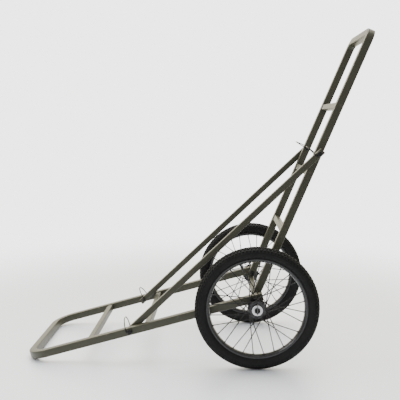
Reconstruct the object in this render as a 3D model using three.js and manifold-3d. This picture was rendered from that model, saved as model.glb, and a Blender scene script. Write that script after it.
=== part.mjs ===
// A folding two-wheeled game cart, in millimetres, +Z up.
// +X points to the handle, -X to the deck's tip, and Y runs along the axle. "Left" is the -Y side: it is on the
// left hand of a person who stands at the handle and looks over the deck.
// The cart stands on its two wheels and on the tip of its deck.

import * as THREE from "three";
import { mergeVertices } from "three/addons/utils/BufferGeometryUtils.js";
import Module from "manifold-3d";

const wasm = await Module();
wasm.setup();

// ---------------------------------------------------------------- driving dimensions

const GAP = 0.3; // between faces that touch on the real cart
const DEGREE = Math.PI / 180;

const FRAME_TUBE = 31.75; // square tube of the deck and the handle, 1 1/4 in
const SMALL_TUBE = 25.4; // square tube of the braces, the crossbars and the axle, 1 in
const TUBE_WALL = 1.5;
const TUBE_CORNER = 2.2; // chamfer that stands for the tube's rounded corner
const DECK_BEND = 80; // centre line of the deck's bends
const HANDLE_BEND = 40; // centre line of the handle's tighter bends
const BEND_STEPS = 6;

const DECK_PITCH = 15.55 * DEGREE; // the deck rises from its tip to the axle
const HANDLE_ANGLE = 67.23 * DEGREE; // the handle leans back from the floor plane
const RAIL_Y = 267; // centre planes of the deck rails, the braces, the legs and the wheels
const BRACE_Y = 237.5;
const LEG_Y = 199;
const WHEEL_Y = 323;

const WHEEL_RADIUS = 257; // 20 in bicycle wheel with a wide tyre
const AXLE_DROP = 0.8 + (FRAME_TUBE + SMALL_TUBE) / 2; // from the pivot line down to the axle, square to the deck
const AXLE_SETBACK = 11.2; // from the pivot line to the axle, along the deck
const RAIL_TAIL = 22; // the rails run on past the pivot
const HANDLE_LENGTH = 1201; // pivot to the top of the handle
const DECK_PIN = 554; // pivot to the brace's pin, along the deck
const HANDLE_PIN = 649; // pivot to the brace's pin, along the handle
const BRACE_END = 19; // the brace runs on past each pin
const DECK_BARS = { deck_middle_crossbar: 477, deck_front_crossbar: 730 };
const HANDLE_BARS = { handle_lower_crossbar: 294, handle_middle_crossbar: 559, handle_upper_crossbar: 861 };

const PIN_RADIUS = 4.75;
const PIN_HOLE_RADIUS = 5.1;
const PIN_HEAD_RADIUS = 10.5;
const PIN_HEAD_LENGTH = 9;
const BAIL_WIRE_RADIUS = 1.8;
const COTTER_WIRE_RADIUS = 1.5;
const BAIL_REACH = 57; // from the pin's axis to the middle of the wire's arch
const BAIL_LEAN = {
  left_deck_pin: 105 * DEGREE, // each bail's direction in the side view, from +X towards +Z
  right_deck_pin: 122 * DEGREE,
  left_handle_pin: 141 * DEGREE,
  right_handle_pin: 151 * DEGREE,
};

const SHAFT_RADIUS = 7.94; // 5/8 in axle
const SHAFT_HOLE_RADIUS = 8.25;
const BOLT_RADIUS = 5;
const BOLT_HOLE_RADIUS = 5.3;
const SPACER_RADIUS = 10;

const TYRE_WIDTH = 52;
const RIM_OUTER = 209; // the rim's flange, where the tyre's bead sits
const RIM_INNER = 194;
const RIM_WIDTH = 32;
const RIM_WALL = 1.6;
const RIM_FLANGE = 7; // the height of the flange that holds the tyre's bead
const SPOKES = 28;
const SPOKE_RADIUS = 1.7;
const SPOKE_PHASE = -93.9 * DEGREE; // where the first spoke meets the rim
const SPOKE_SWEEP = 74 * DEGREE; // how far round the rim a spoke ends from where it starts
const VALVE_ANGLE = 20 * DEGREE;
const HUB_HALF = 34;
const FLANGE_RADIUS = 37;
const FLANGE_OFFSET = 24;
const FLANGE_THICKNESS = 3.4;
const WHEEL_SEGMENTS = 36; // a multiple of four puts a corner at the lowest point

const NORMAL = new THREE.Vector3(-Math.sin(DECK_PITCH), 0, Math.cos(DECK_PITCH)); // up from the deck
const ALONG = new THREE.Vector3(Math.cos(DECK_PITCH), 0, Math.sin(DECK_PITCH)); // from the tip to the pivot
const AXLE = new THREE.Vector3(0, 0, WHEEL_RADIUS);
const PIVOT = AXLE.clone().addScaledVector(NORMAL, AXLE_DROP).addScaledVector(ALONG, AXLE_SETBACK);
// The deck is as long as it takes for its lower front edge to reach the floor.
const DECK_LENGTH = (PIVOT.z - (FRAME_TUBE / 2) * Math.cos(DECK_PITCH)) / Math.sin(DECK_PITCH) + TUBE_CORNER;
const DECK_PIN_POINT = PIVOT.clone().addScaledVector(ALONG, -DECK_PIN);
const HANDLE_DIRECTION = new THREE.Vector3(Math.cos(HANDLE_ANGLE), 0, Math.sin(HANDLE_ANGLE));
const HANDLE_PIN_POINT = PIVOT.clone().addScaledVector(HANDLE_DIRECTION, HANDLE_PIN);
const BRACE_VECTOR = HANDLE_PIN_POINT.clone().sub(DECK_PIN_POINT);
const BRACE_ANGLE = Math.atan2(BRACE_VECTOR.z, BRACE_VECTOR.x);
const BRACE_LENGTH = BRACE_VECTOR.length();

// ---------------------------------------------------------------- materials

const standard = (color, roughness, metalness) => new THREE.MeshStandardMaterial({ color, roughness, metalness });
const PAINT = standard(0x6f6a57, 0.55, 0.25);
const BLACK_STEEL = standard(0x1c1c1c, 0.5, 0.6);
const ZINC = standard(0xc9ccd0, 0.3, 0.9);
const BLACK_PLASTIC = standard(0x191919, 0.6, 0);
const RUBBER = standard(0x161616, 0.9, 0);
const BLACK_RIM = standard(0x202020, 0.4, 0.5);

// ---------------------------------------------------------------- helpers

// A closed geometry as a manifold-3d solid, and back.
function toSolid(geometry) {
  const bare = geometry.index ? geometry.toNonIndexed() : geometry.clone();
  bare.deleteAttribute("normal");
  bare.deleteAttribute("uv");
  const merged = mergeVertices(bare, 1e-3);
  return new wasm.Manifold(
    new wasm.Mesh({
      numProp: 3,
      vertProperties: new Float32Array(merged.attributes.position.array),
      triVerts: new Uint32Array(merged.index.array),
    }),
  );
}

function toGeometry(solid) {
  const mesh = solid.getMesh();
  const geometry = new THREE.BufferGeometry();
  geometry.setAttribute("position", new THREE.BufferAttribute(new Float32Array(mesh.vertProperties), 3));
  geometry.setIndex(new THREE.BufferAttribute(new Uint32Array(mesh.triVerts), 1));
  return geometry;
}

const cut = (geometry, ...tools) =>
  toGeometry(tools.reduce((solid, tool) => solid.subtract(toSolid(tool)), toSolid(geometry)));
const join = (geometry, ...others) =>
  toGeometry(others.reduce((solid, other) => solid.add(toSolid(other)), toSolid(geometry)));

// A cylinder along Y with its middle at (x, y, z). A tool that cuts a hole is one of these.
function rod(radius, length, x = 0, y = 0, z = 0, sides = 14) {
  return new THREE.CylinderGeometry(radius, radius, length, sides).translate(x, y, z);
}

// A solid of revolution about Y. The profile holds [radius, y] points and closes on itself or on the axis.
function turned(profile, segments = 16) {
  const points = profile.map(([radius, y]) => new THREE.Vector2(radius, y));
  return new THREE.LatheGeometry(points, segments);
}

// A ring about Y, between two radii and two heights.
function ring(inner, outer, low, high, segments = 20) {
  const profile = [
    [inner, low],
    [outer, low],
    [outer, high],
    [inner, high],
    [inner, low],
  ];
  return turned(profile, segments);
}

// A square with chamfered corners.
function chamferedSquare(size, chamfer, PathClass) {
  const h = size / 2;
  const c = h - chamfer;
  const path = new PathClass();
  path.setFromPoints(
    [
      [c, -h],
      [h, -c],
      [h, c],
      [c, h],
      [-c, h],
      [-h, c],
      [-h, -c],
      [-c, -h],
    ].map(([x, y]) => new THREE.Vector2(x, y)),
  );
  path.closePath();
  return path;
}

// The section of a square tube.
function tubeSection(size) {
  const section = chamferedSquare(size, TUBE_CORNER, THREE.Shape);
  section.holes.push(chamferedSquare(size - 2 * TUBE_WALL, TUBE_CORNER - TUBE_WALL / 2, THREE.Path));
  return section;
}

// A straight square tube along X, open at both ends.
function tubeAlongX(size, from, to) {
  const options = { depth: to - from, bevelEnabled: false };
  return new THREE.ExtrudeGeometry(tubeSection(size), options).rotateY(Math.PI / 2).translate(from, 0, 0);
}

// A straight square tube along Y, open at both ends.
function tubeAlongY(size, halfLength) {
  return tubeAlongX(size, -halfLength, halfLength).rotateZ(Math.PI / 2);
}

// A path through given stations, each with its own tangent, so that a swept section stands square to it.
class StationPath extends THREE.Curve {
  constructor(stations) {
    super();
    this.stations = stations;
  }
  getPoint(t, target = new THREE.Vector3()) {
    const last = this.stations.length - 1;
    const at = Math.min(Math.floor(t * last + 1e-6), last - 1);
    return target.lerpVectors(this.stations[at].point, this.stations[at + 1].point, t * last - at);
  }
  getPointAt(u, target) {
    return this.getPoint(u, target);
  }
  getTangentAt(u, target = new THREE.Vector3()) {
    return target.copy(this.stations[Math.round(u * (this.stations.length - 1))].tangent);
  }
}

// A U-shaped frame of bent square tube, lying in XY: two rails at y = -half and +half run from x = open to the
// cross part, whose outer face is at x = end.
function bentFrame(half, open, end, bend) {
  const side = Math.sign(end - open);
  const crossX = end - (side * FRAME_TUBE) / 2;
  const bendX = crossX - side * bend;
  const stations = [];
  const add = (x, y, angle) =>
    stations.push({
      point: new THREE.Vector3(x, y, 0),
      tangent: new THREE.Vector3(side * Math.cos(angle), Math.sin(angle), 0),
    });
  add(open, -half, 0);
  for (let i = 0; i <= BEND_STEPS; i++) {
    const angle = (i / BEND_STEPS) * (Math.PI / 2);
    add(bendX + side * bend * Math.sin(angle), -half + bend * (1 - Math.cos(angle)), angle);
  }
  for (let i = 0; i <= BEND_STEPS; i++) {
    const angle = (1 + i / BEND_STEPS) * (Math.PI / 2);
    add(bendX + side * bend * Math.sin(angle), half - bend * (1 + Math.cos(angle)), angle);
  }
  add(open, half, Math.PI);
  const options = { steps: stations.length - 1, bevelEnabled: false, extrudePath: new StationPath(stations) };
  return new THREE.ExtrudeGeometry(tubeSection(FRAME_TUBE), options);
}

// A round wire through points, with a smooth path.
function wire(points, radius, steps, sides = 6) {
  const outline = new THREE.Shape();
  outline.absarc(0, 0, radius, 0, 2 * Math.PI);
  const path = new THREE.CatmullRomCurve3(points.map((p) => new THREE.Vector3(...p)), false, "centripetal");
  const corners = outline.getPoints(Math.ceil(sides / 2)).slice(0, -1);
  return new THREE.ExtrudeGeometry(new THREE.Shape(corners), { steps, bevelEnabled: false, extrudePath: path });
}

function named(name, geometry, material, parent, place = [0, 0, 0]) {
  const mesh = new THREE.Mesh(geometry, material);
  mesh.name = name;
  mesh.position.set(...place);
  parent.add(mesh);
  return mesh;
}

const SIDES = { left: -1, right: 1 };
const cart = new THREE.Group();

// A group whose local X runs up the given member and whose local Z stands square to it.
function memberGroup(origin, angle) {
  const group = new THREE.Group();
  group.position.copy(origin);
  group.rotation.y = -angle;
  cart.add(group);
  return group;
}
const deck = memberGroup(PIVOT, DECK_PITCH);
const handle = memberGroup(PIVOT, HANDLE_ANGLE);
const brace = memberGroup(DECK_PIN_POINT, BRACE_ANGLE);

// ---------------------------------------------------------------- deck

// A bent rail frame with a hole at each pivot and each brace pin.
function addDeckFrame() {
  const through = 2 * RAIL_Y + 100;
  const frame = cut(
    bentFrame(RAIL_Y, RAIL_TAIL, -DECK_LENGTH, DECK_BEND),
    rod(BOLT_HOLE_RADIUS, through),
    rod(PIN_HOLE_RADIUS, through, -DECK_PIN),
  );
  named("deck_frame", frame, PAINT, deck);
  const barHalf = RAIL_Y - FRAME_TUBE / 2 - GAP;
  for (const [name, distance] of Object.entries(DECK_BARS))
    named(name, tubeAlongY(SMALL_TUBE, barHalf), PAINT, deck, [-distance, 0, 0]);
}

// A push-in plug with a flat head, in the open end of each rail.
function addRailEndCaps() {
  const inside = FRAME_TUBE - 2 * TUBE_WALL - 2 * GAP;
  for (const [side, sign] of Object.entries(SIDES)) {
    const head = new THREE.BoxGeometry(2.5, FRAME_TUBE - 1, FRAME_TUBE - 1).translate(1.25, 0, 0);
    const plug = new THREE.BoxGeometry(9, inside - 2, inside - 2).translate(-4, 0, 0);
    named(`${side}_rail_end_cap`, join(head, plug), BLACK_PLASTIC, deck, [RAIL_TAIL + GAP, sign * RAIL_Y, 0]);
  }
}

// The axle's square tube under the rails, and the round shaft in it.
function addAxle() {
  const tubeHalf = RAIL_Y + FRAME_TUBE / 2;
  named("axle_tube", tubeAlongY(SMALL_TUBE, tubeHalf), PAINT, deck, [-AXLE_SETBACK, 0, -AXLE_DROP]);

  const end = WHEEL_Y + HUB_HALF + 17;
  const chamfer = 1.2;
  const shaft = turned([
    [0, -end],
    [SHAFT_RADIUS - chamfer, -end],
    [SHAFT_RADIUS, -end + chamfer],
    [SHAFT_RADIUS, end - chamfer],
    [SHAFT_RADIUS - chamfer, end],
    [0, end],
  ]);
  const cotterHoles = [-1, 1].map((sign) =>
    new THREE.CylinderGeometry(2.2, 2.2, 40, 12).rotateX(Math.PI / 2).translate(0, sign * (end - 6), 0),
  );
  named("axle_shaft", cut(shaft, ...cotterHoles), BLACK_STEEL, cart, AXLE.toArray());

  const hubIn = WHEEL_Y - HUB_HALF;
  const hubOut = WHEEL_Y + HUB_HALF;
  for (const [side, sign] of Object.entries(SIDES)) {
    const spacer = ring(SHAFT_HOLE_RADIUS, 12.5, tubeHalf + GAP, hubIn - GAP);
    const washer = ring(SHAFT_HOLE_RADIUS, 21.75, hubOut + GAP, hubOut + GAP + 2);
    const nut = castleNut(hubOut + 2 * GAP + 2, end - 6);
    const parts = { axle_spacer: [spacer, ZINC], axle_washer: [washer, ZINC], axle_nut: [nut, BLACK_STEEL] };
    for (const [name, [geometry, material]] of Object.entries(parts)) {
      const mesh = named(`${side}_${name}`, geometry, material, cart, AXLE.toArray());
      mesh.rotation.z = sign < 0 ? Math.PI : 0;
    }
    const cotter = named(`${side}_axle_cotter`, hairpin(), ZINC, cart, [AXLE.x, sign * (end - 6), AXLE.z]);
    cotter.rotation.z = sign < 0 ? Math.PI : 0;
  }
}

// A hexagonal nut from y = base, with slots for the cotter at y = slot.
function castleNut(base, slot) {
  const body = rod(12.6, 12, 0, base + 6, 0, 6);
  const slots = new THREE.BoxGeometry(5, 9, 40).translate(0, slot + 2, 0);
  return cut(body, rod(SHAFT_HOLE_RADIUS, 40, 0, base), slots);
}

// A hairpin cotter: one straight leg down through the shaft, a round eye above it, and a waved leg that comes
// down on the shaft's outer side. It lies in the YZ plane and its straight leg is at y = 0.
function hairpin() {
  const points = [
    [0, 0, -16],
    [0, 0, 14],
    [0, 1, 22],
    [0, 5, 29],
    [0, 11, 29],
    [0, 13.5, 23],
    [0, 10.5, 15],
    [0, 9.6, 6],
    [0, 10.5, -4],
    [0, 13, -11],
  ];
  return wire(points, COTTER_WIRE_RADIUS, 30);
}

// The bolt that the handle turns on, with its nut and the spacer between rail and leg.
function addPivots() {
  const outside = RAIL_Y + FRAME_TUBE / 2 + GAP;
  const inside = LEG_Y - FRAME_TUBE / 2 - GAP;
  const nutHeight = 9;
  for (const [side, sign] of Object.entries(SIDES)) {
    const shankEnd = inside - nutHeight - 3;
    const shank = rod(BOLT_RADIUS, outside - shankEnd + 0.5, 0, (outside + 0.5 + shankEnd) / 2);
    const head = rod(9.2, 5.6, 0, outside + 2.8, 0, 6);
    const nut = cut(
      join(rod(9.2, nutHeight - 1.5, 0, inside - 5.25, 0, 6), rod(11, 1.6, 0, inside - 0.8)),
      rod(BOLT_HOLE_RADIUS, 40, 0, inside),
    );
    const spacerFrom = LEG_Y + FRAME_TUBE / 2 + GAP;
    const spacerTo = RAIL_Y - FRAME_TUBE / 2 - GAP;
    const parts = {
      pivot_bolt: [join(shank, head), BLACK_STEEL],
      pivot_nut: [nut, BLACK_STEEL],
      pivot_spacer: [ring(BOLT_HOLE_RADIUS, SPACER_RADIUS, spacerFrom, spacerTo), ZINC],
    };
    for (const [name, [geometry, material]] of Object.entries(parts)) {
      const mesh = named(`${side}_${name}`, geometry, material, deck);
      mesh.rotation.z = sign < 0 ? Math.PI : 0;
    }
  }
}

// ---------------------------------------------------------------- handle

// A bent frame whose lower ends are round about the pivot, so that they turn clear of the axle tube.
function addHandle() {
  const half = FRAME_TUBE / 2;
  const through = 2 * LEG_Y + 100;
  const below = new THREE.BoxGeometry(2 * half, through, 3 * half).translate(-half, 0, 0);
  const corners = cut(below, rod(half, through + 10, 0, 0, 0, 40));
  const frame = cut(
    bentFrame(LEG_Y, -half, HANDLE_LENGTH, HANDLE_BEND),
    corners,
    rod(BOLT_HOLE_RADIUS, through),
    rod(PIN_HOLE_RADIUS, through, HANDLE_PIN),
  );
  named("handle_frame", frame, PAINT, handle);
  const barHalf = LEG_Y - half - GAP;
  for (const [name, distance] of Object.entries(HANDLE_BARS))
    named(name, tubeAlongY(SMALL_TUBE, barHalf), PAINT, handle, [distance, 0, 0]);
}

// ---------------------------------------------------------------- braces and their pins

function addBraces() {
  const tube = cut(
    tubeAlongX(SMALL_TUBE, -BRACE_END, BRACE_LENGTH + BRACE_END),
    rod(PIN_HOLE_RADIUS, 60),
    rod(PIN_HOLE_RADIUS, 60, BRACE_LENGTH),
  );
  for (const [side, sign] of Object.entries(SIDES))
    named(`${side}_brace`, tube, PAINT, brace, [0, sign * BRACE_Y, 0]);
}

// A wire-lock pin and its bail. The pin's head is outside, at distance outer from the cart's middle plane, and
// its shank runs inwards to a groove at distance inner, where the bail's free leg snaps over it.
function addLockPin(name, side, point, outer, inner) {
  const sign = SIDES[side];
  const shoulder = outer + GAP;
  const head = shoulder + PIN_HEAD_LENGTH;
  const hinge = shoulder + PIN_HEAD_LENGTH / 2;
  const tip = inner - 2.4;
  const pin = cut(
    turned([
      [0, tip],
      [PIN_RADIUS - 1.2, tip],
      [PIN_RADIUS - 1.2, inner + 1.9],
      [PIN_RADIUS, inner + 3],
      [PIN_RADIUS, shoulder],
      [PIN_HEAD_RADIUS - 1, shoulder],
      [PIN_HEAD_RADIUS, shoulder + 1],
      [PIN_HEAD_RADIUS, head - 1.5],
      [PIN_HEAD_RADIUS - 1.5, head],
      [0, head],
    ]),
    new THREE.CylinderGeometry(2.3, 2.3, 40, 12).rotateZ(Math.PI / 2).translate(0, hinge, 0),
  );
  const aside = PIN_HEAD_RADIUS + 2 * BAIL_WIRE_RADIUS;
  const bail = wire(
    [
      [-6, hinge, 0],
      [0, hinge, 0],
      [aside - 3, hinge, 0],
      [aside, hinge, 4],
      [aside, hinge, 18],
      [aside - 2, hinge - 4, 38],
      [aside - 4, hinge - 16, BAIL_REACH - 3],
      [aside - 5, (hinge + inner) / 2, BAIL_REACH],
      [aside - 6, inner + 14, BAIL_REACH - 4],
      [6.4, inner + 3, 36],
      [5.8, inner, 18],
      [5.8, inner, -6],
    ],
    BAIL_WIRE_RADIUS,
    30,
  );
  const assembly = new THREE.Group();
  assembly.position.copy(point);
  // Local Z points along the bail: a turn about Y, with local Y pointing outwards on each side.
  assembly.rotation.order = "YZX";
  assembly.rotation.y = Math.PI / 2 - BAIL_LEAN[name];
  assembly.rotation.z = sign < 0 ? Math.PI : 0;
  cart.add(assembly);
  named(name, pin, BLACK_STEEL, assembly);
  named(name.replace("pin", "bail"), bail, BLACK_STEEL, assembly);
}

function addLockPins() {
  const slot = (LEG_Y + FRAME_TUBE / 2 + BRACE_Y - SMALL_TUBE / 2) / 2; // between leg and brace
  const inLeg = LEG_Y - FRAME_TUBE / 2 - 4;
  for (const side of Object.keys(SIDES)) {
    addLockPin(`${side}_deck_pin`, side, DECK_PIN_POINT, RAIL_Y + FRAME_TUBE / 2, slot);
    addLockPin(`${side}_handle_pin`, side, HANDLE_PIN_POINT, BRACE_Y + SMALL_TUBE / 2, inLeg);
  }
}

// ---------------------------------------------------------------- wheels

// A tyre that is open towards the rim, like a real one, with its crown at the wheel's full radius.
function tyre() {
  const w = TYRE_WIDTH / 2;
  const wall = 4;
  const beadOut = RIM_WIDTH / 2 - RIM_WALL - GAP;
  const beadIn = beadOut - 4;
  const beadSeat = RIM_OUTER - RIM_FLANGE + 0.6;
  const half = [
    [beadSeat, beadIn],
    [beadSeat, beadOut],
    [RIM_OUTER + 1, beadOut],
    [RIM_OUTER + 12, w - 3],
    [RIM_OUTER + 24, w],
    [RIM_OUTER + 37, w - 4],
    [WHEEL_RADIUS - 2, w - 13],
    [WHEEL_RADIUS, 0],
  ];
  const halfInside = [
    [WHEEL_RADIUS - 9, 0],
    [RIM_OUTER + 34, w - 4 - wall],
    [RIM_OUTER + 14, w - 3 - wall],
    [beadSeat, beadIn],
  ];
  const mirrored = (points) => points.map(([radius, y]) => [radius, -y]);
  const outside = [...mirrored(half), ...half.slice(0, -1).reverse()];
  const inside = [...halfInside.slice(0, -1).reverse(), ...mirrored(halfInside)];
  return turned([...outside, ...inside], WHEEL_SEGMENTS);
}

// The inner tube: a thin ring inside the tyre, open on its inner side.
function innerTube() {
  const centre = RIM_OUTER + 20;
  const outer = 16.5;
  const inner = 15;
  const turns = 5;
  const arc = (radius, from, to) =>
    Array.from({ length: turns + 1 }, (_, i) => {
      const angle = from + ((to - from) * i) / turns;
      return [centre - radius * Math.cos(angle), radius * Math.sin(angle)];
    });
  const opening = 10 * DEGREE;
  const profile = [
    ...arc(outer, opening, 2 * Math.PI - opening).reverse(),
    ...arc(inner, opening, 2 * Math.PI - opening),
  ];
  profile.push(profile[0]);
  return turned(profile, WHEEL_SEGMENTS);
}

// A box-section rim whose channel opens outwards to the tyre, with the valve's hole.
function rim() {
  const w = RIM_WIDTH / 2;
  const inside = w - RIM_WALL;
  const seat = RIM_OUTER - RIM_FLANGE;
  const half = [
    [RIM_INNER, 6],
    [seat - 4, w - 3],
    [seat, w],
    [RIM_OUTER, w],
    [RIM_OUTER, inside],
    [seat, inside],
    [seat, 9],
    [seat - 4, 6],
  ];
  const profile = [...half.map(([radius, y]) => [radius, -y]), ...half.reverse()];
  profile.push(profile[0]);
  const valveHole = new THREE.CylinderGeometry(3.6, 3.6, 30, 12).translate(0, RIM_INNER + 5, 0);
  valveHole.rotateZ(VALVE_ANGLE).rotateX(Math.PI / 2);
  return cut(turned(profile, WHEEL_SEGMENTS), valveHole);
}

function valve() {
  const profile = [
    [0, RIM_INNER - 26],
    [2.4, RIM_INNER - 26],
    [3, RIM_INNER - 24],
    [3, RIM_INNER + 4.6],
    [5.5, RIM_INNER + 4.8],
    [5.5, RIM_INNER + 6],
    [0, RIM_INNER + 6],
  ];
  return turned(profile, 12).rotateZ(VALVE_ANGLE).rotateX(Math.PI / 2);
}

// The hub with its two flanges and the spokes, which leave the flanges nearly along a tangent and cross.
function spokedHub() {
  const barrel = turned([
    [9.5, -HUB_HALF + 12],
    [14.3, -HUB_HALF + 12],
    [14.3, -HUB_HALF],
    [17, -HUB_HALF],
    [19, -FLANGE_OFFSET],
    [17, 0],
    [19, FLANGE_OFFSET],
    [17, HUB_HALF],
    [14.3, HUB_HALF],
    [14.3, HUB_HALF - 12],
    [9.5, HUB_HALF - 12],
    [9.5, -HUB_HALF + 12],
  ]);
  const flanges = [-1, 1].map((sign) => {
    const y = sign * FLANGE_OFFSET;
    return ring(16, FLANGE_RADIUS, y - FLANGE_THICKNESS / 2, y + FLANGE_THICKNESS / 2);
  });
  const solid = join(barrel, ...flanges);
  const holeRadius = FLANGE_RADIUS - 4;
  const spokes = [];
  for (let i = 0; i < SPOKES; i++) {
    const flange = i % 2 === 0 ? 1 : -1;
    const pair = Math.floor(i / 2);
    const lean = pair % 2 === 0 ? 1 : -1;
    const rimAngle = (i / SPOKES) * 2 * Math.PI + SPOKE_PHASE;
    const hubAngle = rimAngle - lean * SPOKE_SWEEP;
    // Crossing spokes pass on opposite faces of the flange.
    const y0 = flange * (FLANGE_OFFSET + lean * flange * (FLANGE_THICKNESS / 2 + SPOKE_RADIUS - 0.4));
    const start = new THREE.Vector3(holeRadius * Math.cos(hubAngle), y0, holeRadius * Math.sin(hubAngle));
    const endRadius = RIM_INNER * Math.cos(Math.PI / WHEEL_SEGMENTS) - 3 * GAP;
    const end = new THREE.Vector3(endRadius * Math.cos(rimAngle), flange * 2.5, endRadius * Math.sin(rimAngle));
    spokes.push(strut(start, end, SPOKE_RADIUS, 5));
  }
  return join(solid, ...spokes);
}

// A thin round bar between two points.
function strut(start, end, radius, sides) {
  const direction = end.clone().sub(start);
  const bar = new THREE.CylinderGeometry(radius, radius, direction.length(), sides);
  bar.translate(0, direction.length() / 2, 0);
  const turn = new THREE.Quaternion().setFromUnitVectors(new THREE.Vector3(0, 1, 0), direction.clone().normalize());
  return bar.applyQuaternion(turn).translate(start.x, start.y, start.z);
}

function addWheels() {
  const bearing = ring(SHAFT_HOLE_RADIUS, 14, HUB_HALF - 11.5, HUB_HALF - 0.5);
  for (const [side, sign] of Object.entries(SIDES)) {
    const wheel = new THREE.Group();
    wheel.position.set(AXLE.x, sign * WHEEL_Y, AXLE.z);
    wheel.rotation.z = sign < 0 ? 0 : Math.PI;
    cart.add(wheel);
    named(`${side}_tyre`, tyre(), RUBBER, wheel);
    named(`${side}_inner_tube`, innerTube(), RUBBER, wheel);
    named(`${side}_rim`, rim(), BLACK_RIM, wheel);
    named(`${side}_valve`, valve(), BLACK_STEEL, wheel);
    named(`${side}_hub_and_spokes`, spokedHub(), BLACK_RIM, wheel);
    named(`${side}_outer_bearing`, bearing, ZINC, wheel).rotation.x = Math.PI;
    named(`${side}_inner_bearing`, bearing, ZINC, wheel);
  }
}

// ---------------------------------------------------------------- the cart

addDeckFrame();
addRailEndCaps();
addAxle();
addPivots();
addHandle();
addBraces();
addLockPins();
addWheels();

// The origin is on the floor, at the middle of the space that the cart takes.
const space = new THREE.Box3().setFromObject(cart, true);
const middle = space.getCenter(new THREE.Vector3());
cart.position.set(-middle.x, -middle.y, -space.min.z);

const gameCart = new THREE.Group();
gameCart.add(cart);
export default gameCart;
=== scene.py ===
import math

import bmesh
import bpy
from mathutils import Matrix, Vector


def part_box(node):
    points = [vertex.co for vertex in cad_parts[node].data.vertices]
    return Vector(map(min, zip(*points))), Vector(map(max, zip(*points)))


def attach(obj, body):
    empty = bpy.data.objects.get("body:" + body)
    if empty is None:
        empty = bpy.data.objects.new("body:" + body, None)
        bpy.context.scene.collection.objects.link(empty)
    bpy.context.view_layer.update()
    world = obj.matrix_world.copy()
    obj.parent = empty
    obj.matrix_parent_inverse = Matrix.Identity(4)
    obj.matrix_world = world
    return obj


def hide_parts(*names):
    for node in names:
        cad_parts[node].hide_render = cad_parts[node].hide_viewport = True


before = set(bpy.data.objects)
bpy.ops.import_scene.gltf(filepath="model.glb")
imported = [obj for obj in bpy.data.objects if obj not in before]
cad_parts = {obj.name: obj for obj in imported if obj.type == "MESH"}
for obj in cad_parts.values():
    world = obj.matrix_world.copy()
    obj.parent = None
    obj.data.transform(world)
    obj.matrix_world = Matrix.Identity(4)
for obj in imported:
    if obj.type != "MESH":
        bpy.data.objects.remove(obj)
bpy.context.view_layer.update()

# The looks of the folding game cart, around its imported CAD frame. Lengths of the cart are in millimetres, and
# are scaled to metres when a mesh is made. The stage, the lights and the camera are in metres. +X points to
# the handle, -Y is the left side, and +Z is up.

MM = 0.001
RAD = math.radians

# ---------------------------------------------------------------- driving dimensions, as in the CAD source

GAP = 0.3  # between faces that touch on the real cart
FRAME_TUBE, SMALL_TUBE, WALL = 31.75, 25.4, 1.5
CAD_CHAMFER = 2.2  # it stands for a square tube's rounded corner in the CAD source
DECK_BEND, HANDLE_BEND = 80, 40
DECK_PITCH, HANDLE_ANGLE = RAD(15.55), RAD(67.23)
RAIL_Y, BRACE_Y, LEG_Y, WHEEL_Y = 267, 237.5, 199, 323
WHEEL_RADIUS = 257
AXLE_DROP, AXLE_SETBACK = 0.8 + (FRAME_TUBE + SMALL_TUBE) / 2, 11.2
RAIL_TAIL, HANDLE_LENGTH, DECK_PIN, HANDLE_PIN, BRACE_END = 22, 1201, 554, 649, 19
DECK_BARS = {"deck_middle_crossbar": 477, "deck_front_crossbar": 730}
HANDLE_BARS = {"handle_lower_crossbar": 294, "handle_middle_crossbar": 559, "handle_upper_crossbar": 861}
BAIL_LEAN = {"left_deck": 105, "right_deck": 122, "left_handle": 141, "right_handle": 151}
BAIL_REACH, COTTER_WIRE = 57, 1.5
PIN_RADIUS, PIN_HEAD_RADIUS, PIN_HEAD_LENGTH = 4.75, 10.5, 9
SHAFT_RADIUS, BOLT_RADIUS, BOLT_HOLE_RADIUS, SPACER_RADIUS = 7.94, 5, 5.3, 10
RIM_OUTER, RIM_INNER = 209, 194
SPOKES, SPOKE_PHASE, SPOKE_SWEEP = 28, RAD(-93.9), RAD(74)
FLANGE_RADIUS, FLANGE_OFFSET, HUB_HALF = 37, 24, 34
VALVE_ANGLE = RAD(20)

# ---------------------------------------------------------------- sizes that only this script has

CORNER = 3.2  # outer corner radius of a square tube
BEAD_RADIUS = 2.0  # of a weld
BAIL_WIRE, SPOKE_RADIUS = 2.0, 1.9  # radii, 0.2 more than in the CAD source, to read as dark lines
SHAFT_BORE, BOLT_BORE = 8.2, 5.2  # radii of the holes in the shaft's rings and in the pivot's nut
NUT_RADIUS, HEAD_RADIUS = 12.6, 9.2  # corner radii of the axle's and the pivot's hexagons
HUB_STEPS, TYRE_STEPS, RIM_STEPS = 96, 128, 160  # how many segments go round each
TREAD_PITCHES = 104

low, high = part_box("axle_shaft")
AXLE = Vector((500 * (low.x + high.x), 0, 500 * (low.z + high.z)))
ALONG = Vector((math.cos(DECK_PITCH), 0, math.sin(DECK_PITCH)))
NORMAL = Vector((-math.sin(DECK_PITCH), 0, math.cos(DECK_PITCH)))
PIVOT = AXLE + NORMAL * AXLE_DROP + ALONG * AXLE_SETBACK
DECK_LENGTH = (PIVOT.z - FRAME_TUBE / 2 * math.cos(DECK_PITCH)) / math.sin(DECK_PITCH) + CAD_CHAMFER
DECK_PIN_POINT = PIVOT - ALONG * DECK_PIN
HANDLE_PIN_POINT = PIVOT + Vector((math.cos(HANDLE_ANGLE), 0, math.sin(HANDLE_ANGLE))) * HANDLE_PIN
BRACE = HANDLE_PIN_POINT - DECK_PIN_POINT


def member(origin, angle):
    """The frame of a member: local X runs up it, and local Z stands square to it."""
    return Matrix.Translation(origin) @ Matrix.Rotation(-angle, 4, "Y")


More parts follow.
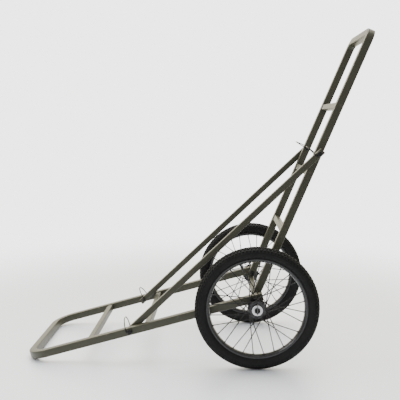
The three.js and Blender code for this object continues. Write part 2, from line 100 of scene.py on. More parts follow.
DECK = member(PIVOT, DECK_PITCH)
HANDLE = member(PIVOT, HANDLE_ANGLE)
BRACE_FRAME = member(DECK_PIN_POINT, math.atan2(BRACE.z, BRACE.x))
HALF_TURN = Matrix.Rotation(math.pi, 4, "Z")
SIDES = {"left": -1, "right": 1}


def facing(sign):
    """Turns a piece made for the +Y side to the given side."""
    return Matrix.Identity(4) if sign > 0 else HALF_TURN


# ---------------------------------------------------------------- materials


def new_material(name):
    material = bpy.data.materials.new(name)
    material.use_nodes = True
    tree = material.node_tree
    return material, tree, tree.nodes["Principled BSDF"]


def noise(tree, scale, detail=3.0, roughness=0.5):
    """A noise texture in object space, in cycles per metre."""
    coordinates = tree.nodes.new("ShaderNodeTexCoord")
    texture = tree.nodes.new("ShaderNodeTexNoise")
    texture.inputs["Scale"].default_value = scale
    texture.inputs["Detail"].default_value = detail
    texture.inputs["Roughness"].default_value = roughness
    tree.links.new(coordinates.outputs["Object"], texture.inputs["Vector"])
    return texture.outputs["Fac"]


def ramp(tree, source, stops):
    node = tree.nodes.new("ShaderNodeValToRGB")
    elements = node.color_ramp.elements
    while len(elements) < len(stops):
        elements.new(0.5)
    for element, (position, color) in zip(elements, stops):
        element.position = position
        element.color = (*color, 1)
    tree.links.new(source, node.inputs["Fac"])
    return node.outputs["Color"]


def grey(value):
    return (value, value, value)


def finish(name, tones, rough, metallic, grain, bump, depth, coat=0.0, patch=9.0, shine=0.5):
    """A finish with slow patches of two tones, and a fine grain that changes its roughness and bumps it.

    patch and grain are in cycles per metre, and depth is in millimetres.
    """
    material, tree, shader = new_material(name)
    slow = noise(tree, patch, 4.0, 0.6)
    tree.links.new(ramp(tree, slow, [(0.3, tones[0]), (0.7, tones[1])]), shader.inputs["Base Color"])
    fine = noise(tree, grain, 2.0, 0.5)
    dull = ramp(tree, fine, [(0.3, grey(rough[0])), (0.7, grey(rough[1]))])
    tree.links.new(dull, shader.inputs["Roughness"])
    shader.inputs["Metallic"].default_value = metallic
    shader.inputs["Specular IOR Level"].default_value = shine
    shader.inputs["Coat Weight"].default_value = coat
    shader.inputs["Coat Roughness"].default_value = 0.25
    relief = tree.nodes.new("ShaderNodeBump")
    relief.inputs["Strength"].default_value = bump
    relief.inputs["Distance"].default_value = depth * MM
    tree.links.new(fine, relief.inputs["Height"])
    tree.links.new(relief.outputs["Normal"], shader.inputs["Normal"])
    return material


def scuff(material, color, scale, amount):
    """Adds sparse rubbed spots of another colour."""
    tree = material.node_tree
    shader = tree.nodes["Principled BSDF"]
    spots = ramp(tree, noise(tree, scale, 9.0, 0.72), [(0.58, grey(0.0)), (0.70, grey(amount))])
    mix = tree.nodes.new("ShaderNodeMix")
    mix.data_type = "RGBA"
    tree.links.new(spots, mix.inputs["Factor"])
    tree.links.new(shader.inputs["Base Color"].links[0].from_socket, mix.inputs["A"])
    mix.inputs["B"].default_value = (*color, 1)
    tree.links.new(mix.outputs["Result"], shader.inputs["Base Color"])


PAINT = finish(
    "olive_powder_coat", [(0.038, 0.037, 0.021), (0.048, 0.047, 0.027)], (0.38, 0.48),
    metallic=0.3, grain=700, bump=0.1, depth=0.15, coat=0.15,
)  # fmt: skip
scuff(PAINT, (0.095, 0.085, 0.060), scale=38, amount=0.65)
WELD = finish(
    "painted_weld", [(0.022, 0.021, 0.012), (0.040, 0.039, 0.022)], (0.42, 0.55),
    metallic=0.3, grain=900, bump=0.5, depth=0.3, coat=0.15,
)  # fmt: skip
BLACK_STEEL = finish(
    "black_oxide_steel", [(0.012, 0.012, 0.013), (0.028, 0.027, 0.026)], (0.28, 0.42),
    metallic=0.8, grain=900, bump=0.2, depth=0.05,
)  # fmt: skip
ZINC = finish(
    "zinc_plate", [(0.60, 0.61, 0.63), (0.78, 0.78, 0.77)], (0.2, 0.36),
    metallic=1.0, grain=1500, bump=0.12, depth=0.03, patch=60,
)  # fmt: skip
PLASTIC = finish(
    "black_plastic_moulding", [grey(0.012), grey(0.02)], (0.42, 0.55),
    metallic=0.0, grain=1800, bump=0.3, depth=0.05,
)  # fmt: skip
TYRE = finish(
    "tyre_rubber", [grey(0.005), (0.009, 0.009, 0.008)], (0.5, 0.7),
    metallic=0.0, grain=420, bump=0.3, depth=0.2, patch=30, shine=0.2,
)  # fmt: skip
INNER_RUBBER = finish(
    "inner_rubber_moulding", [grey(0.012), grey(0.02)], (0.6, 0.75),
    metallic=0.0, grain=500, bump=0.2, depth=0.1,
)  # fmt: skip
RIM_BLACK = finish(
    "black_rim_paint", [grey(0.005), grey(0.009)], (0.2, 0.3),
    metallic=0.0, grain=500, bump=0.05, depth=0.02, coat=0.5, shine=0.4,
)  # fmt: skip
DULL_ZINC = finish(
    "dull_zinc", [grey(0.10), grey(0.18)], (0.3, 0.45),
    metallic=1.0, grain=1500, bump=0.12, depth=0.03, patch=60,
)  # fmt: skip
NIPPLE = finish(
    "dark_nipple", [grey(0.03), grey(0.06)], (0.25, 0.4),
    metallic=0.8, grain=900, bump=0.1, depth=0.03,
)  # fmt: skip
SPOKE_BLACK = finish(
    "black_spoke", [grey(0.005), grey(0.009)], (0.45, 0.55),
    metallic=0.0, grain=900, bump=0.1, depth=0.03, shine=0.3,
)  # fmt: skip

# ---------------------------------------------------------------- shapes: (points, faces) in millimetres


def merge(*shapes):
    points, faces = [], []
    for some_points, some_faces in shapes:
        base = len(points)
        points += some_points
        faces += [tuple(base + i for i in face) for face in some_faces]
    return points, faces


def moved(shape, matrix):
    return [matrix @ Vector(p) for p in shape[0]], shape[1]


def make(name, shape, material, body, replaces=(), place=Matrix.Identity(4), crease=32):
    """One named piece, riding on a body."""
    mesh = bpy.data.meshes.new(name)
    mesh.from_pydata([(place @ Vector(p)) * MM for p in shape[0]], [], shape[1])
    work = bmesh.new()
    work.from_mesh(mesh)
    bmesh.ops.remove_doubles(work, verts=work.verts, dist=1e-7)
    bmesh.ops.recalc_face_normals(work, faces=work.faces)
    work.to_mesh(mesh)
    work.free()
    mesh.shade_smooth()
    mesh.set_sharp_from_angle(angle=RAD(crease))
    mesh.materials.append(material)
    piece = bpy.data.objects.new(name, mesh)
    bpy.context.scene.collection.objects.link(piece)
    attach(piece, body)
    if replaces:
        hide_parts(*replaces)
    return piece


def skin(rings, closed=False):
    """Joins rings of points into a closed surface. It has caps, unless the last ring joins the first one."""
    n = len(rings[0])
    points = [p for ring in rings for p in ring]
    faces = []
    for k in range(len(rings) if closed else len(rings) - 1):
        a, b = k * n, (k + 1) % len(rings) * n
        faces += [(a + i, a + (i + 1) % n, b + (i + 1) % n, b + i) for i in range(n)]
    if not closed:
        faces += [tuple(range(n))[::-1], tuple(range(len(points) - n, len(points)))]
    return points, faces


def unit_circle(sides):
    turns = [2 * math.pi * i / sides for i in range(sides)]
    return [(math.cos(turn), math.sin(turn)) for turn in turns]


def rounded_square(size, radius, steps=6):
    """The outline of a square with rounded corners."""
    c = size / 2 - radius
    outline = []
    for x, y, start in ((c, c, 0), (-c, c, 90), (-c, -c, 180), (c, -c, 270)):
        angles = [RAD(start + 90 * i / steps) for i in range(steps + 1)]
        outline += [(x + radius * math.cos(angle), y + radius * math.sin(angle)) for angle in angles]
    return outline


def lathe(profile, segments):
    """A solid of revolution about Y. Its profile of (radius, y) points closes on itself or on the axis."""
    rings = []
    for k in range(segments):
        angle = 2 * math.pi * k / segments
        rings.append([Vector((r * math.cos(angle), y, r * math.sin(angle))) for r, y in profile])
    points, faces = skin(rings, closed=True)
    if profile[0][0] < 1e-6 and profile[-1][0] < 1e-6:  # it meets the axis, so nothing closes the profile
        n = len(profile)
        faces = [f for f in faces if not {f[0] % n, f[1] % n} == {0, n - 1}]
    return points, faces


def mirrored(profile):
    """The points of a profile in reverse order, on the other side of y = 0."""
    return [(r, -y) for r, y in profile[::-1]]


def ring_profile(bore, land, outer, low_y, high_y, ease=0.6):
    """A ring whose outer corners are turned off between the radius of its flat ends and its outer radius."""
    low_end = [(bore, low_y), (land, low_y), (outer, low_y + ease)]
    return [*low_end, (outer, high_y - ease), (land, high_y), (bore, high_y)]


def tube(stations, size):
    """A square tube with open ends. Each station is (point, side, up)."""
    shell = []
    for outline in (rounded_square(size, CORNER), rounded_square(size - 2 * WALL, CORNER - WALL)):
        shell.append([[p + side * a + up * b for a, b in outline] for p, side, up in stations])
    outer, inner = shell
    return skin(outer + inner[::-1], closed=True)


def straight_tube(size, start, end, axis="X"):
    direction = {"X": Vector((1, 0, 0)), "Y": Vector((0, 1, 0))}[axis]
    side = {"X": Vector((0, 1, 0)), "Y": Vector((1, 0, 0))}[axis]
    up = Vector((0, 0, 1))
    return tube([(direction * t, side, up) for t in (start, end)], size)


def bent_frame(half, start, end, radius):
    """A U of square tube in the local XY plane, from its open ends to the outer face of its cross part."""
    steps = 20  # in each bend
    way = 1 if end > start else -1
    bend = end - way * (FRAME_TUBE / 2 + radius)
    up = Vector((0, 0, 1))
    stations = [(Vector((start, -half, 0)), Vector((0, 1, 0)), up)]
    for turn in (0, 1):
        for i in range(steps + 1):
            angle = (turn + i / steps) * math.pi / 2
            x = bend + way * radius * math.sin(angle)
            centre = -half + radius if turn == 0 else half - radius
            y = centre - radius * math.cos(angle)
            stations.append((Vector((x, y, 0)), Vector((-way * math.sin(angle), math.cos(angle), 0)), up))
    stations.append((Vector((start, half, 0)), Vector((0, -1, 0)), up))
    return tube(stations, FRAME_TUBE)


def along_path(points, radii, sides, closed=False):
    """A round section carried along a path without twisting. radii is one number, or one for each point."""
    count = len(points)
    if not isinstance(radii, list):
        radii = [radii] * count
    rings, normal = [], None
    for k, point in enumerate(points):
        before = points[(k - 1) % count] if closed or k else point
        after = points[(k + 1) % count] if closed or k < count - 1 else point
        tangent = (after - before).normalized()
        if normal is None:
            normal = tangent.orthogonal().normalized()
        normal = (normal - tangent * normal.dot(tangent)).normalized()
        other = tangent.cross(normal)
        rings.append([point + (normal * a + other * b) * radii[k] for a, b in unit_circle(sides)])
    return skin(rings, closed=closed)


def smooth_path(points, steps):
    """A Catmull-Rom path through the points."""
    points = [Vector(p) for p in points]
    ends = [2 * points[0] - points[1], *points, 2 * points[-1] - points[-2]]
    path = []
    for k in range(len(points) - 1):
        a, b, c, d = ends[k : k + 4]
        for i in range(steps):
            t = i / steps
            square_part, cube_part = 2 * a - 5 * b + 4 * c - d, 3 * b - a - 3 * c + d
            path.append(0.5 * ((2 * b) + (c - a) * t + square_part * t**2 + cube_part * t**3))
    return [*path, points[-1]]


def bead(path, closed=True):
    """A weld bead with ripples, along a path that is cut into short steps."""
    step_length, sides = 0.9, 7
    fine = []
    count = len(path) if closed else len(path) - 1
    for k in range(count):
        a, b = path[k], path[(k + 1) % len(path)]
        steps = max(1, round((b - a).length / step_length))
        fine += [a.lerp(b, i / steps) for i in range(steps)]
    ripples = [1 + 0.18 * math.sin(k * 1.45) + 0.06 * math.sin(k * 0.31) for k in range(len(fine))]
    return along_path(fine, [BEAD_RADIUS * ripple for ripple in ripples], sides, closed)


def weld_ring(size, y):
    """A bead round the end of a square tube that runs along Y."""
    return bead([Vector((a, y, b)) for a, b in rounded_square(size, CORNER, 3)])


# ---------------------------------------------------------------- deck and handle frames


def crossbars(bars, half, frame_matrix, body):
    for name, distance in bars.items():
        place = frame_matrix @ Matrix.Translation((distance if body == "handle" else -distance, 0, 0))
        make(name + "_tube", straight_tube(SMALL_TUBE, -half, half, "Y"), PAINT, body, [name], place)
        welds = merge(*(weld_ring(SMALL_TUBE, s * (half - 0.4)) for s in (-1, 1)))
        make(name + "_welds", welds, WELD, body, (), place, crease=80)


def build_deck():
    rails = bent_frame(RAIL_Y, RAIL_TAIL, -DECK_LENGTH, DECK_BEND)
    make("deck_rails", rails, PAINT, "deck", ["deck_frame"], DECK)
    crossbars(DECK_BARS, RAIL_Y - FRAME_TUBE / 2, DECK, "deck")
    plug = rounded_square(FRAME_TUBE - 1, CORNER)
    inner = rounded_square(FRAME_TUBE - 2 * WALL - 1.2, 1.5)
    for side, sign in SIDES.items():
        place = DECK @ Matrix.Translation((RAIL_TAIL + GAP, sign * RAIL_Y, 0))
        domed = ((0, 1), (1.4, 1), (2.1, 0.97), (2.5, 0.9))  # how far out, and the share of the full outline
        head = skin([[Vector((x, a * k, b * k)) for a, b in plug] for x, k in domed])
        stub = skin([[Vector((x, a, b)) for a, b in inner] for x in (-8, 0)])
        make(f"{side}_rail_plug", merge(head, stub), PLASTIC, "deck", [f"{side}_rail_end_cap"], place)


def build_axle():
    tube_half = RAIL_Y + FRAME_TUBE / 2
    place = DECK @ Matrix.Translation((-AXLE_SETBACK, 0, -AXLE_DROP))
    cross_tube = straight_tube(SMALL_TUBE, -tube_half, tube_half, "Y")
    make("axle_square_tube", cross_tube, PAINT, "deck", ["axle_tube"], place)
    edge = SMALL_TUBE / 2
    lines = []
    for sign in SIDES.values():
        for x in (-edge - 0.4, edge + 0.4):
            ends = [Vector((x, sign * (RAIL_Y + w), edge + 0.4)) for w in (-14, 14)]
            lines.append(bead(ends, closed=False))
    make("axle_welds", merge(*lines), WELD, "deck", (), place, crease=80)

    hub_in, hub_out = WHEEL_Y - HUB_HALF, WHEEL_Y + HUB_HALF
    end = hub_out + 17
    cotter = end - 6  # the cotter's place along the shaft
    shaft = [(0, -end), (6.4, -end), (7.4, -end + 0.4), (SHAFT_RADIUS, -end + 1.4)]
    rod = lathe([*shaft, *mirrored(shaft)], 48)
    make("axle_rod", rod, BLACK_STEEL, "deck", ["axle_shaft"], Matrix.Translation(AXLE))
    for side, sign in SIDES.items():
        place = Matrix.Translation(AXLE) @ facing(sign)
        spacer = lathe(ring_profile(SHAFT_BORE, 12, 12.5, tube_half + GAP, hub_in - GAP), 48)
        make(f"{side}_spacer_ring", spacer, ZINC, "deck", [f"{side}_axle_spacer"], place)
        a, b = hub_out + GAP, hub_out + GAP + 2
        washer = [
            (SHAFT_BORE, a), (21.2, a), (21.75, a + 0.4), (21.75, b - 0.5), (21.2, b), (8.8, b),
            (SHAFT_BORE, b - 0.4),
        ]  # fmt: skip
        make(f"{side}_washer_disc", lathe(washer, 72), ZINC, "deck", [f"{side}_axle_washer"], place)
        nut = castle_nut(b + GAP, cotter)
        make(f"{side}_castle_nut", nut, BLACK_STEEL, "deck", [f"{side}_axle_nut"], place)
        clip = along_path(smooth_path(HAIRPIN, 8), COTTER_WIRE, 12)
        clip_place = Matrix.Translation(AXLE + Vector((0, sign * cotter, 0))) @ facing(sign)
        stood_for = [f"{side}_axle_cotter"]
        make(f"{side}_hairpin_cotter", clip, DULL_ZINC, "deck", stood_for, clip_place, crease=60)


HAIRPIN = [
    (0, 0, -16), (0, 0, 0), (0, 0, 14), (0, 1, 22), (0, 5, 29), (0, 11, 29), (0, 13.5, 23),
    (0, 10.5, 15), (0, 9.6, 6), (0, 10.5, -4), (0, 13, -11),
]  # fmt: skip


def hexagon(radius, low_y, high_y, chamfer=0.9):
    """The rings of a hexagonal head along Y, with its outer corners turned off."""
    sides, half_flat = 48, math.pi / 6
    stations = (
        (low_y, 0.98), (low_y + 0.3, 1.0), (high_y - chamfer, 1.0), (high_y - chamfer * 0.4, 0.955),
        (high_y, 0.9),
    )  # fmt: skip
    rings = []
    for y, cap in stations:
        ring = []
        for i in range(sides):
            angle = 2 * math.pi * i / sides
            from_flat = (angle + half_flat) % (2 * half_flat) - half_flat
            r = min(radius * math.cos(half_flat) / math.cos(from_flat), radius * cap)
            ring.append(Vector((r * math.cos(angle), y, r * math.sin(angle))))
        rings.append(ring)
    return rings


def castle_nut(base, slot):
    """A slotted hexagonal nut round the axle: a hexagon below, and six posts above it."""
    body = hexagon(NUT_RADIUS, base, slot - 2.4, 0.5)
    posts = []
    for i in range(6):
        angle = RAD(60 * i + 30)
        out = Vector((math.cos(angle), 0, math.sin(angle)))
        across = Vector((-math.sin(angle), 0, math.cos(angle)))
        rings = []
        for y, r_out, w in ((slot - 2.6, 10.9, 3.9), (base + 11.2, 10.9, 3.9), (base + 12, 10.2, 3.5)):
            corners = ((8.3, -1), (r_out, -1), (r_out, 1), (8.3, 1))
            rings.append([out * r + across * s * w + Vector((0, y, 0)) for r, s in corners])
        posts.append(skin(rings))
    return merge(skin(body), *posts)


def build_pivots():
    outside = RAIL_Y + FRAME_TUBE / 2 + GAP
    inside = LEG_Y - FRAME_TUBE / 2 - GAP
    for side, sign in SIDES.items():
        place = DECK @ facing(sign)
        shank = [
            (0, inside - 12), (4.2, inside - 12), (BOLT_RADIUS, inside - 11.2), (BOLT_RADIUS, outside + 0.5),
            (0, outside + 0.5),
        ]  # fmt: skip
        head = skin(hexagon(HEAD_RADIUS, outside, outside + 5.6))
        screw = merge(lathe(shank, 40), head)
        make(f"{side}_pivot_screw", screw, BLACK_STEEL, "deck", [f"{side}_pivot_bolt"], place)
        collar = [
            (BOLT_BORE, inside), (11, inside), (11, inside - 1.2), (10.4, inside - 1.6),
            (BOLT_BORE, inside - 1.6),
        ]  # fmt: skip
        hexagonal = hexagon(HEAD_RADIUS, inside + 1.5, inside + 8.2)
        turned = [[Vector((p.x, 2 * inside - p.y, p.z)) for p in ring] for ring in hexagonal]
        nylon = [(BOLT_BORE, inside - 8), (8, inside - 8), (7.6, inside - 9), (BOLT_BORE, inside - 9)]
        nut = merge(lathe(collar, 40), skin(turned), lathe(nylon, 40))
        make(f"{side}_lock_nut", nut, BLACK_STEEL, "deck", [f"{side}_pivot_nut"], place)
        low_y, high_y = LEG_Y + FRAME_TUBE / 2 + GAP, RAIL_Y - FRAME_TUBE / 2 - GAP
        sleeve = lathe(ring_profile(BOLT_HOLE_RADIUS, 9.4, SPACER_RADIUS, low_y, high_y), 48)
        make(f"{side}_pivot_sleeve", sleeve, ZINC, "deck", [f"{side}_pivot_spacer"], place)


def build_handle():
    half = FRAME_TUBE / 2
    frame_tube = bent_frame(LEG_Y, 0, HANDLE_LENGTH, HANDLE_BEND)
    make("handle_tube", frame_tube, PAINT, "handle", ["handle_frame"], HANDLE)
    # Each leg's lower end is rounded about the pivot. Its foot is a hair smaller than the tube it closes.
    foot, steps = half - 0.02, 24
    angles = [RAD(180 * i / steps) for i in range(steps + 1)]
    arc = [(-foot * math.sin(angle), foot * math.cos(angle)) for angle in angles]
    outline = [(0.5, foot), *arc, (0.5, -foot)]
    for side, sign in SIDES.items():
        shell = [[Vector((x, sign * LEG_Y + t * foot, z)) for x, z in outline] for t in (-1, 1)]
        make(f"{side}_leg_foot", skin(shell), PAINT, "handle", (), HANDLE)
    crossbars(HANDLE_BARS, LEG_Y - half, HANDLE, "handle")


# ---------------------------------------------------------------- braces and lock pins


def build_braces():
    for side, sign in SIDES.items():
        place = BRACE_FRAME @ Matrix.Translation((0, sign * BRACE_Y, 0))
        brace = straight_tube(SMALL_TUBE, -BRACE_END, BRACE.length + BRACE_END)
        make(f"{side}_brace_tube", brace, PAINT, f"{side}_brace", [f"{side}_brace"], place)


def lock_pin(side, where, point, outer, inner, pin_body):
    """A wire-lock pin: a round head, a shank with a grooved tip, and a bail that snaps over the tip."""
    sign = SIDES[side]
    lean = RAD(BAIL_LEAN[f"{side}_{where}"])
    place = Matrix.Translation(point) @ Matrix.Rotation(math.pi / 2 - lean, 4, "Y") @ facing(sign)
    shoulder = outer + GAP
    head, hinge, tip = shoulder + PIN_HEAD_LENGTH, shoulder + PIN_HEAD_LENGTH / 2, inner - 2.4
    groove = 3.55  # radius of the grooved tip
    profile = [
        (0, tip), (2.9, tip), (groove, tip + 0.7), (groove, inner + 1.9), (PIN_RADIUS, inner + 3),
        (PIN_RADIUS, shoulder), (9.6, shoulder), (PIN_HEAD_RADIUS, shoulder + 0.9),
        (PIN_HEAD_RADIUS, head - 1.5), (9.9, head - 0.5), (8.8, head), (0, head),
    ]  # fmt: skip
    pin = lathe(profile, 48)
    make(f"{side}_{where}_lock_pin", pin, BLACK_STEEL, pin_body, [f"{side}_{where}_pin"], place)
    aside = PIN_HEAD_RADIUS + 2 * BAIL_WIRE
    path = [
        (-6, hinge, 0), (0, hinge, 0), (aside - 3, hinge, 0), (aside, hinge, 4), (aside, hinge, 18),
        (aside - 2, hinge - 4, 38), (aside - 4, hinge - 16, BAIL_REACH - 3),
        (aside - 5, (hinge + inner) / 2, BAIL_REACH), (aside - 6, inner + 14, BAIL_REACH - 4),
        (6.4, inner + 3, 36), (5.8, inner, 18), (5.8, inner, -6),
    ]  # fmt: skip
    wire = along_path(smooth_path(path, 7), BAIL_WIRE, 12)
    bail = f"{side}_{where}_bail"
    make(f"{side}_{where}_wire_bail", wire, BLACK_STEEL, bail, [bail], place, crease=60)


def build_lock_pins():
    leg_out, leg_in = LEG_Y + FRAME_TUBE / 2, LEG_Y - FRAME_TUBE / 2
    between = (leg_out + BRACE_Y - SMALL_TUBE / 2) / 2  # halfway from the leg to the brace
    for side in SIDES:
        lock_pin(side, "deck", DECK_PIN_POINT, RAIL_Y + FRAME_TUBE / 2, between, "deck")
        lock_pin(side, "handle", HANDLE_PIN_POINT, BRACE_Y + SMALL_TUBE / 2, leg_in - 4, "handle")


# ---------------------------------------------------------------- wheels

TREAD_CENTRE, TREAD_HEIGHT, TREAD_WIDTH = 230.2, 23.4, 24.2  # the middle and half axes of the carcass's oval


def carcass(angle, lift=0.0):
    """A point (radius, y) that stands a lift off the tyre's carcass, at an angle round its section."""
    r, y = TREAD_HEIGHT * math.cos(angle), TREAD_WIDTH * math.sin(angle)
    nr, ny = math.cos(angle) / TREAD_HEIGHT, math.sin(angle) / TREAD_WIDTH
    size = math.hypot(nr, ny)
    return TREAD_CENTRE + r + lift * nr / size, y + lift * ny / size


def tyre_shape():
    """The carcass, 4 mm thick, with two moulded ribs round each sidewall."""
    ribs, rib_height = (84, 108), 0.7
    outside = [carcass(RAD(a), rib_height if abs(a) in ribs else 0.0) for a in range(-126, 127, 6)]
    inside = [carcass(RAD(a), -4) for a in range(120, -121, -12)]
    foot = [(212, 14.2), (202.8, 13.9), (202.8, 10.2)]  # where it sits in the rim
    return lathe([*mirrored(foot), *outside, *foot, *inside], TYRE_STEPS)


def knob(round_angle, angle, length, width, lift, skew=0.0):
    """A tapered tread block. Its length runs round the wheel, and its width across the tread."""
    rings = []
    for height, k in ((-0.6, 1.12), (lift - 0.35, 1.0), (lift, 0.86)):
        ring = []
        for u, v in ((-1, -1), (0, -1), (1, -1), (1, 1), (0, 1), (-1, 1)):
            across = angle + v * k * width / 2 / TREAD_WIDTH
            r, y = carcass(across, height)
            turn = round_angle + (u * k * length / 2 + v * skew) / WHEEL_RADIUS
            ring.append(Vector((r * math.cos(turn), y, r * math.sin(turn))))
        rings.append(ring)
    return skin(rings)


def tread_shape():
    """Rows of small blocks: a centre row, and two middle rows and a shoulder row on each side."""
    blocks = []
    for k in range(TREAD_PITCHES):
        at, between = 2 * math.pi * k / TREAD_PITCHES, 2 * math.pi * (k + 0.5) / TREAD_PITCHES
        blocks.append(knob(at, 0, 9.6, 7.0, 3.2))
        for s in (-1, 1):
            blocks.append(knob(between, s * RAD(22), 9.4, 6.8, 3.0, s * 1.4))
            blocks.append(knob(at, s * RAD(45), 9.0, 7.0, 2.7, s * 1.4))
            blocks.append(knob(between, s * RAD(66), 7.6, 6.4, 1.9))
    return merge(*blocks)


def rim_shape():
    """A rim with hooked edges and a well for the tyre."""
    half = [
        (RIM_INNER, 0), (194.2, 4), (195.2, 7.5), (197.2, 10.8), (199.6, 13.4), (201.2, 15.2), (202.4, 15.8),
        (207, 16), (208.4, 15.9), (RIM_OUTER, 15.4), (208.6, 14.8), (207.2, 14.5), (202, 14.4), (202, 9),
        (198, 6), (198, 0),
    ]  # fmt: skip
    return lathe([*half, *mirrored(half[1:-1])], RIM_STEPS)


def spoke_ends(i):
    """Where a spoke starts at its flange and ends in the rim, and which way it leans round the hub."""
    flange = 1 if i % 2 == 0 else -1
    lean = 1 if (i // 2) % 2 == 0 else -1
    rim_angle = i / SPOKES * 2 * math.pi + SPOKE_PHASE
    hub_angle = rim_angle - lean * SPOKE_SWEEP
    y = flange * (FLANGE_OFFSET + lean * flange * 2.6)
    hole, seat = FLANGE_RADIUS - 4, RIM_INNER + 1
    start = Vector((hole * math.cos(hub_angle), y, hole * math.sin(hub_angle)))
    end = Vector((seat * math.cos(rim_angle), flange * 2.5, seat * math.sin(rim_angle)))
    return start, end, lean


def build_wheel(side, sign):
    body = f"{side}_wheel"
    place = Matrix.Translation(AXLE + Vector((0, sign * WHEEL_Y, 0))) @ facing(-sign)

    def put(name, shape, material, replaces=(), crease=32):
        make(f"{side}_{name}", shape, material, body, [f"{side}_{n}" for n in replaces], place, crease)

    put("tyre_carcass", tyre_shape(), TYRE, ["tyre"], 50)
    put("tyre_tread", tread_shape(), TYRE)
    put("rim_hoop", rim_shape(), RIM_BLACK, ["rim"], 25)
    spokes, nipples, heads = [], [], []
    for i in range(SPOKES):
        start, end, lean = spoke_ends(i)
        direction = (end - start).normalized()
        elbow = start + Vector((0, -lean * 4.6, 0))
        wire = [elbow, start - Vector((0, lean * 0.9, 0)), start + direction * 1.2, end]
        spokes.append(along_path(wire, SPOKE_RADIUS, 10))
        foot = end - direction * 13
        stages = [foot, foot + direction * 0.6, foot + direction * 8, foot + direction * 8.2, end]
        nipples.append(along_path(stages, [1.5, 2.1, 2.1, 2.6, 2.6], 10))
        away = Vector((0, -lean, 0))
        button = [elbow - away * 0.2, elbow + away * 0.7, elbow + away * 1.3]
        heads.append(along_path(button, [2.3, 2.1, 1.1], 12))
    put("spokes", merge(*spokes), SPOKE_BLACK, (), 60)
    put("spoke_nipples", merge(*nipples), NIPPLE, (), 40)
    put("spoke_heads", merge(*heads), SPOKE_BLACK, (), 50)

    barrel = [
        (9.5, 22), (14.3, 22), (14.3, HUB_HALF), (16.6, HUB_HALF), (17, 33.6), (18.4, 27), (19.5, 25.7),
        (36, 25.7), (FLANGE_RADIUS, 24.9), (FLANGE_RADIUS, 23.1), (36, 22.3), (20.5, 22.3), (18.2, 20),
        (17.2, 12), (17, 0),
    ]  # fmt: skip
    hub = lathe([*barrel, *mirrored(barrel[:-1])], HUB_STEPS)
    put("hub_shell", hub, RIM_BLACK, ["hub_and_spokes"], 25)

    stem = lathe([(0, 168), (2, 168), (2.5, 168.6), (2.5, 176), (3.1, 176.4), (3.1, 199), (0, 199)], 24)
    cap = lathe([(0, 166.5), (3.2, 166.5), (3.8, 167.4), (3.9, 178), (3.2, 178.6), (0, 178.6)], 24)
    stand = Matrix.Rotation(math.pi / 2, 4, "X") @ Matrix.Rotation(VALVE_ANGLE, 4, "Z")
    put("valve_stem", moved(merge(stem, cap), stand), PLASTIC, ["valve"])
    inner_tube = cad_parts[f"{side}_inner_tube"].data
    inner_tube.materials.clear()
    inner_tube.materials.append(INNER_RUBBER)
    for which in ("outer", "inner"):
        race = lathe([(8.25, 22.6), (8.25, 33.4), (9.8, 33.4), (10.2, 33.1), (10.4, 22.6)], 48)
        outer_race = lathe([(12.6, 22.6), (12.6, 33.1), (13, 33.4), (14, 33.4), (14, 22.6)], 48)
        shield = lathe([(10.3, 31.6), (10.3, 32.4), (12.7, 32.4), (12.7, 31.6)], 48)
        flip = Matrix.Rotation(math.pi, 4, "X") if which == "outer" else Matrix.Identity(4)
        put(f"{which}_bearing_races", moved(merge(race, outer_race), flip), ZINC, [f"{which}_bearing"])
        put(f"{which}_bearing_shield", moved(shield, flip), PLASTIC)


build_deck()
build_axle()
build_pivots()
build_handle()
build_braces()
build_lock_pins()
for side, sign in SIDES.items():
    build_wheel(side, sign)

# ---------------------------------------------------------------- stage, light and camera

SKY, BACKDROP = 2.5, 4.5  # radiance
FLOOR_FADE = (0.8, 3.2)  # where the floor starts and ends to fade, in metres from the middle of the cart
CAMERA_PITCH, CAMERA_YAW = RAD(6.66), RAD(1.858)  # how far it looks down, and turns from +Y towards -X


def white_floor():
    """A pale floor under the cart. It fades out into the backdrop, away from the cart."""
    mesh = bpy.data.meshes.new("floor")
    size = FLOOR_FADE[1] + 0.5
    corners = [(-size, -size, 0), (size, -size, 0), (size, size, 0), (-size, size, 0)]
    mesh.from_pydata(corners, [], [(0, 1, 2, 3)])
    material, tree, shader = new_material("white_floor")
    shader.inputs["Metallic"].default_value = 0.5
    shader.inputs["Roughness"].default_value = 0.5
    tones = ramp(tree, noise(tree, 0.8), [(0.3, (0.87, 0.905, 0.98)), (0.7, (0.89, 0.925, 1.0))])
    tree.links.new(tones, shader.inputs["Base Color"])
    place = tree.nodes.new("ShaderNodeTexCoord")
    distance = tree.nodes.new("ShaderNodeVectorMath")
    distance.operation = "LENGTH"
    tree.links.new(place.outputs["Object"], distance.inputs[0])
    fade = tree.nodes.new("ShaderNodeMapRange")
    fade.interpolation_type = "SMOOTHERSTEP"
    fade.inputs["From Min"].default_value, fade.inputs["From Max"].default_value = FLOOR_FADE
    fade.inputs["To Min"].default_value, fade.inputs["To Max"].default_value = 1.0, 0.0
    tree.links.new(distance.outputs["Value"], fade.inputs["Value"])
    tree.links.new(fade.outputs["Result"], shader.inputs["Alpha"])
    mesh.materials.append(material)
    floor = bpy.data.objects.new("floor", mesh)
    bpy.context.scene.collection.objects.link(floor)


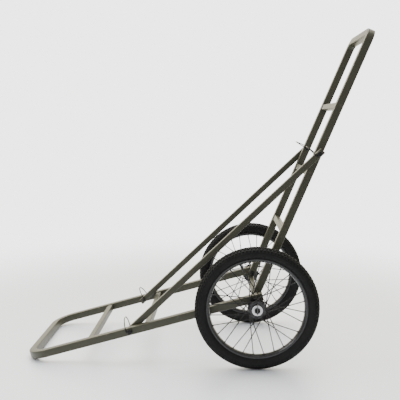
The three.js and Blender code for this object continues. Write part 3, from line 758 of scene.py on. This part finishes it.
def white_world():
    """An even white backdrop for the camera, and a sky that lights the cart, brightest behind it."""
    world = bpy.data.worlds.new("studio")
    bpy.context.scene.world = world
    world.use_nodes = True
    tree = world.node_tree
    sky = tree.nodes["Background"]
    sky.inputs["Strength"].default_value = SKY
    coordinates = tree.nodes.new("ShaderNodeTexCoord")
    split = tree.nodes.new("ShaderNodeSeparateXYZ")
    tree.links.new(coordinates.outputs["Generated"], split.inputs["Vector"])
    change = tree.nodes.new("ShaderNodeMapRange")
    change.interpolation_type = "SMOOTHSTEP"
    change.inputs["From Min"].default_value = -0.3
    change.inputs["From Max"].default_value = 0.6
    tree.links.new(split.outputs["Y"], change.inputs["Value"])
    warmth = ramp(tree, change.outputs["Result"], [(0.0, grey(0.28)), (1.0, (1.0, 0.94, 0.78))])
    tree.links.new(warmth, sky.inputs["Color"])
    backdrop = tree.nodes.new("ShaderNodeBackground")
    backdrop.inputs["Strength"].default_value = BACKDROP
    choice = tree.nodes.new("ShaderNodeMixShader")
    seen = tree.nodes.new("ShaderNodeLightPath")
    tree.links.new(seen.outputs["Is Camera Ray"], choice.inputs["Fac"])
    tree.links.new(sky.outputs["Background"], choice.inputs[1])
    tree.links.new(backdrop.outputs["Background"], choice.inputs[2])
    tree.links.new(choice.outputs["Shader"], tree.nodes["World Output"].inputs["Surface"])


def soft_light(name, location, target, size, watts):
    data = bpy.data.lights.new(name, "AREA")
    data.shape = "SQUARE"
    data.size = size
    data.energy = watts
    lamp = bpy.data.objects.new(name, data)
    lamp.location = location
    lamp.rotation_euler = (Vector(target) - Vector(location)).to_track_quat("-Z", "Y").to_euler()
    bpy.context.scene.collection.objects.link(lamp)


white_floor()
white_world()
soft_light("left_softbox", (-2.6, -0.6, 2.6), (0, 0, 0.5), 1.8, 70)
soft_light("top_softbox", (0.3, 0.4, 3.6), (0.1, 0, 0.4), 2.2, 110)

camera_data = bpy.data.cameras.new("photo_camera")
camera_data.lens = 60.0
camera_data.sensor_width = 36
camera = bpy.data.objects.new("photo_camera", camera_data)
camera.location = (0.1040, -2.9945, 1.0159)
camera.rotation_euler = (RAD(90) - CAMERA_PITCH, 0, CAMERA_YAW)
bpy.context.scene.collection.objects.link(camera)
bpy.context.scene.camera = camera
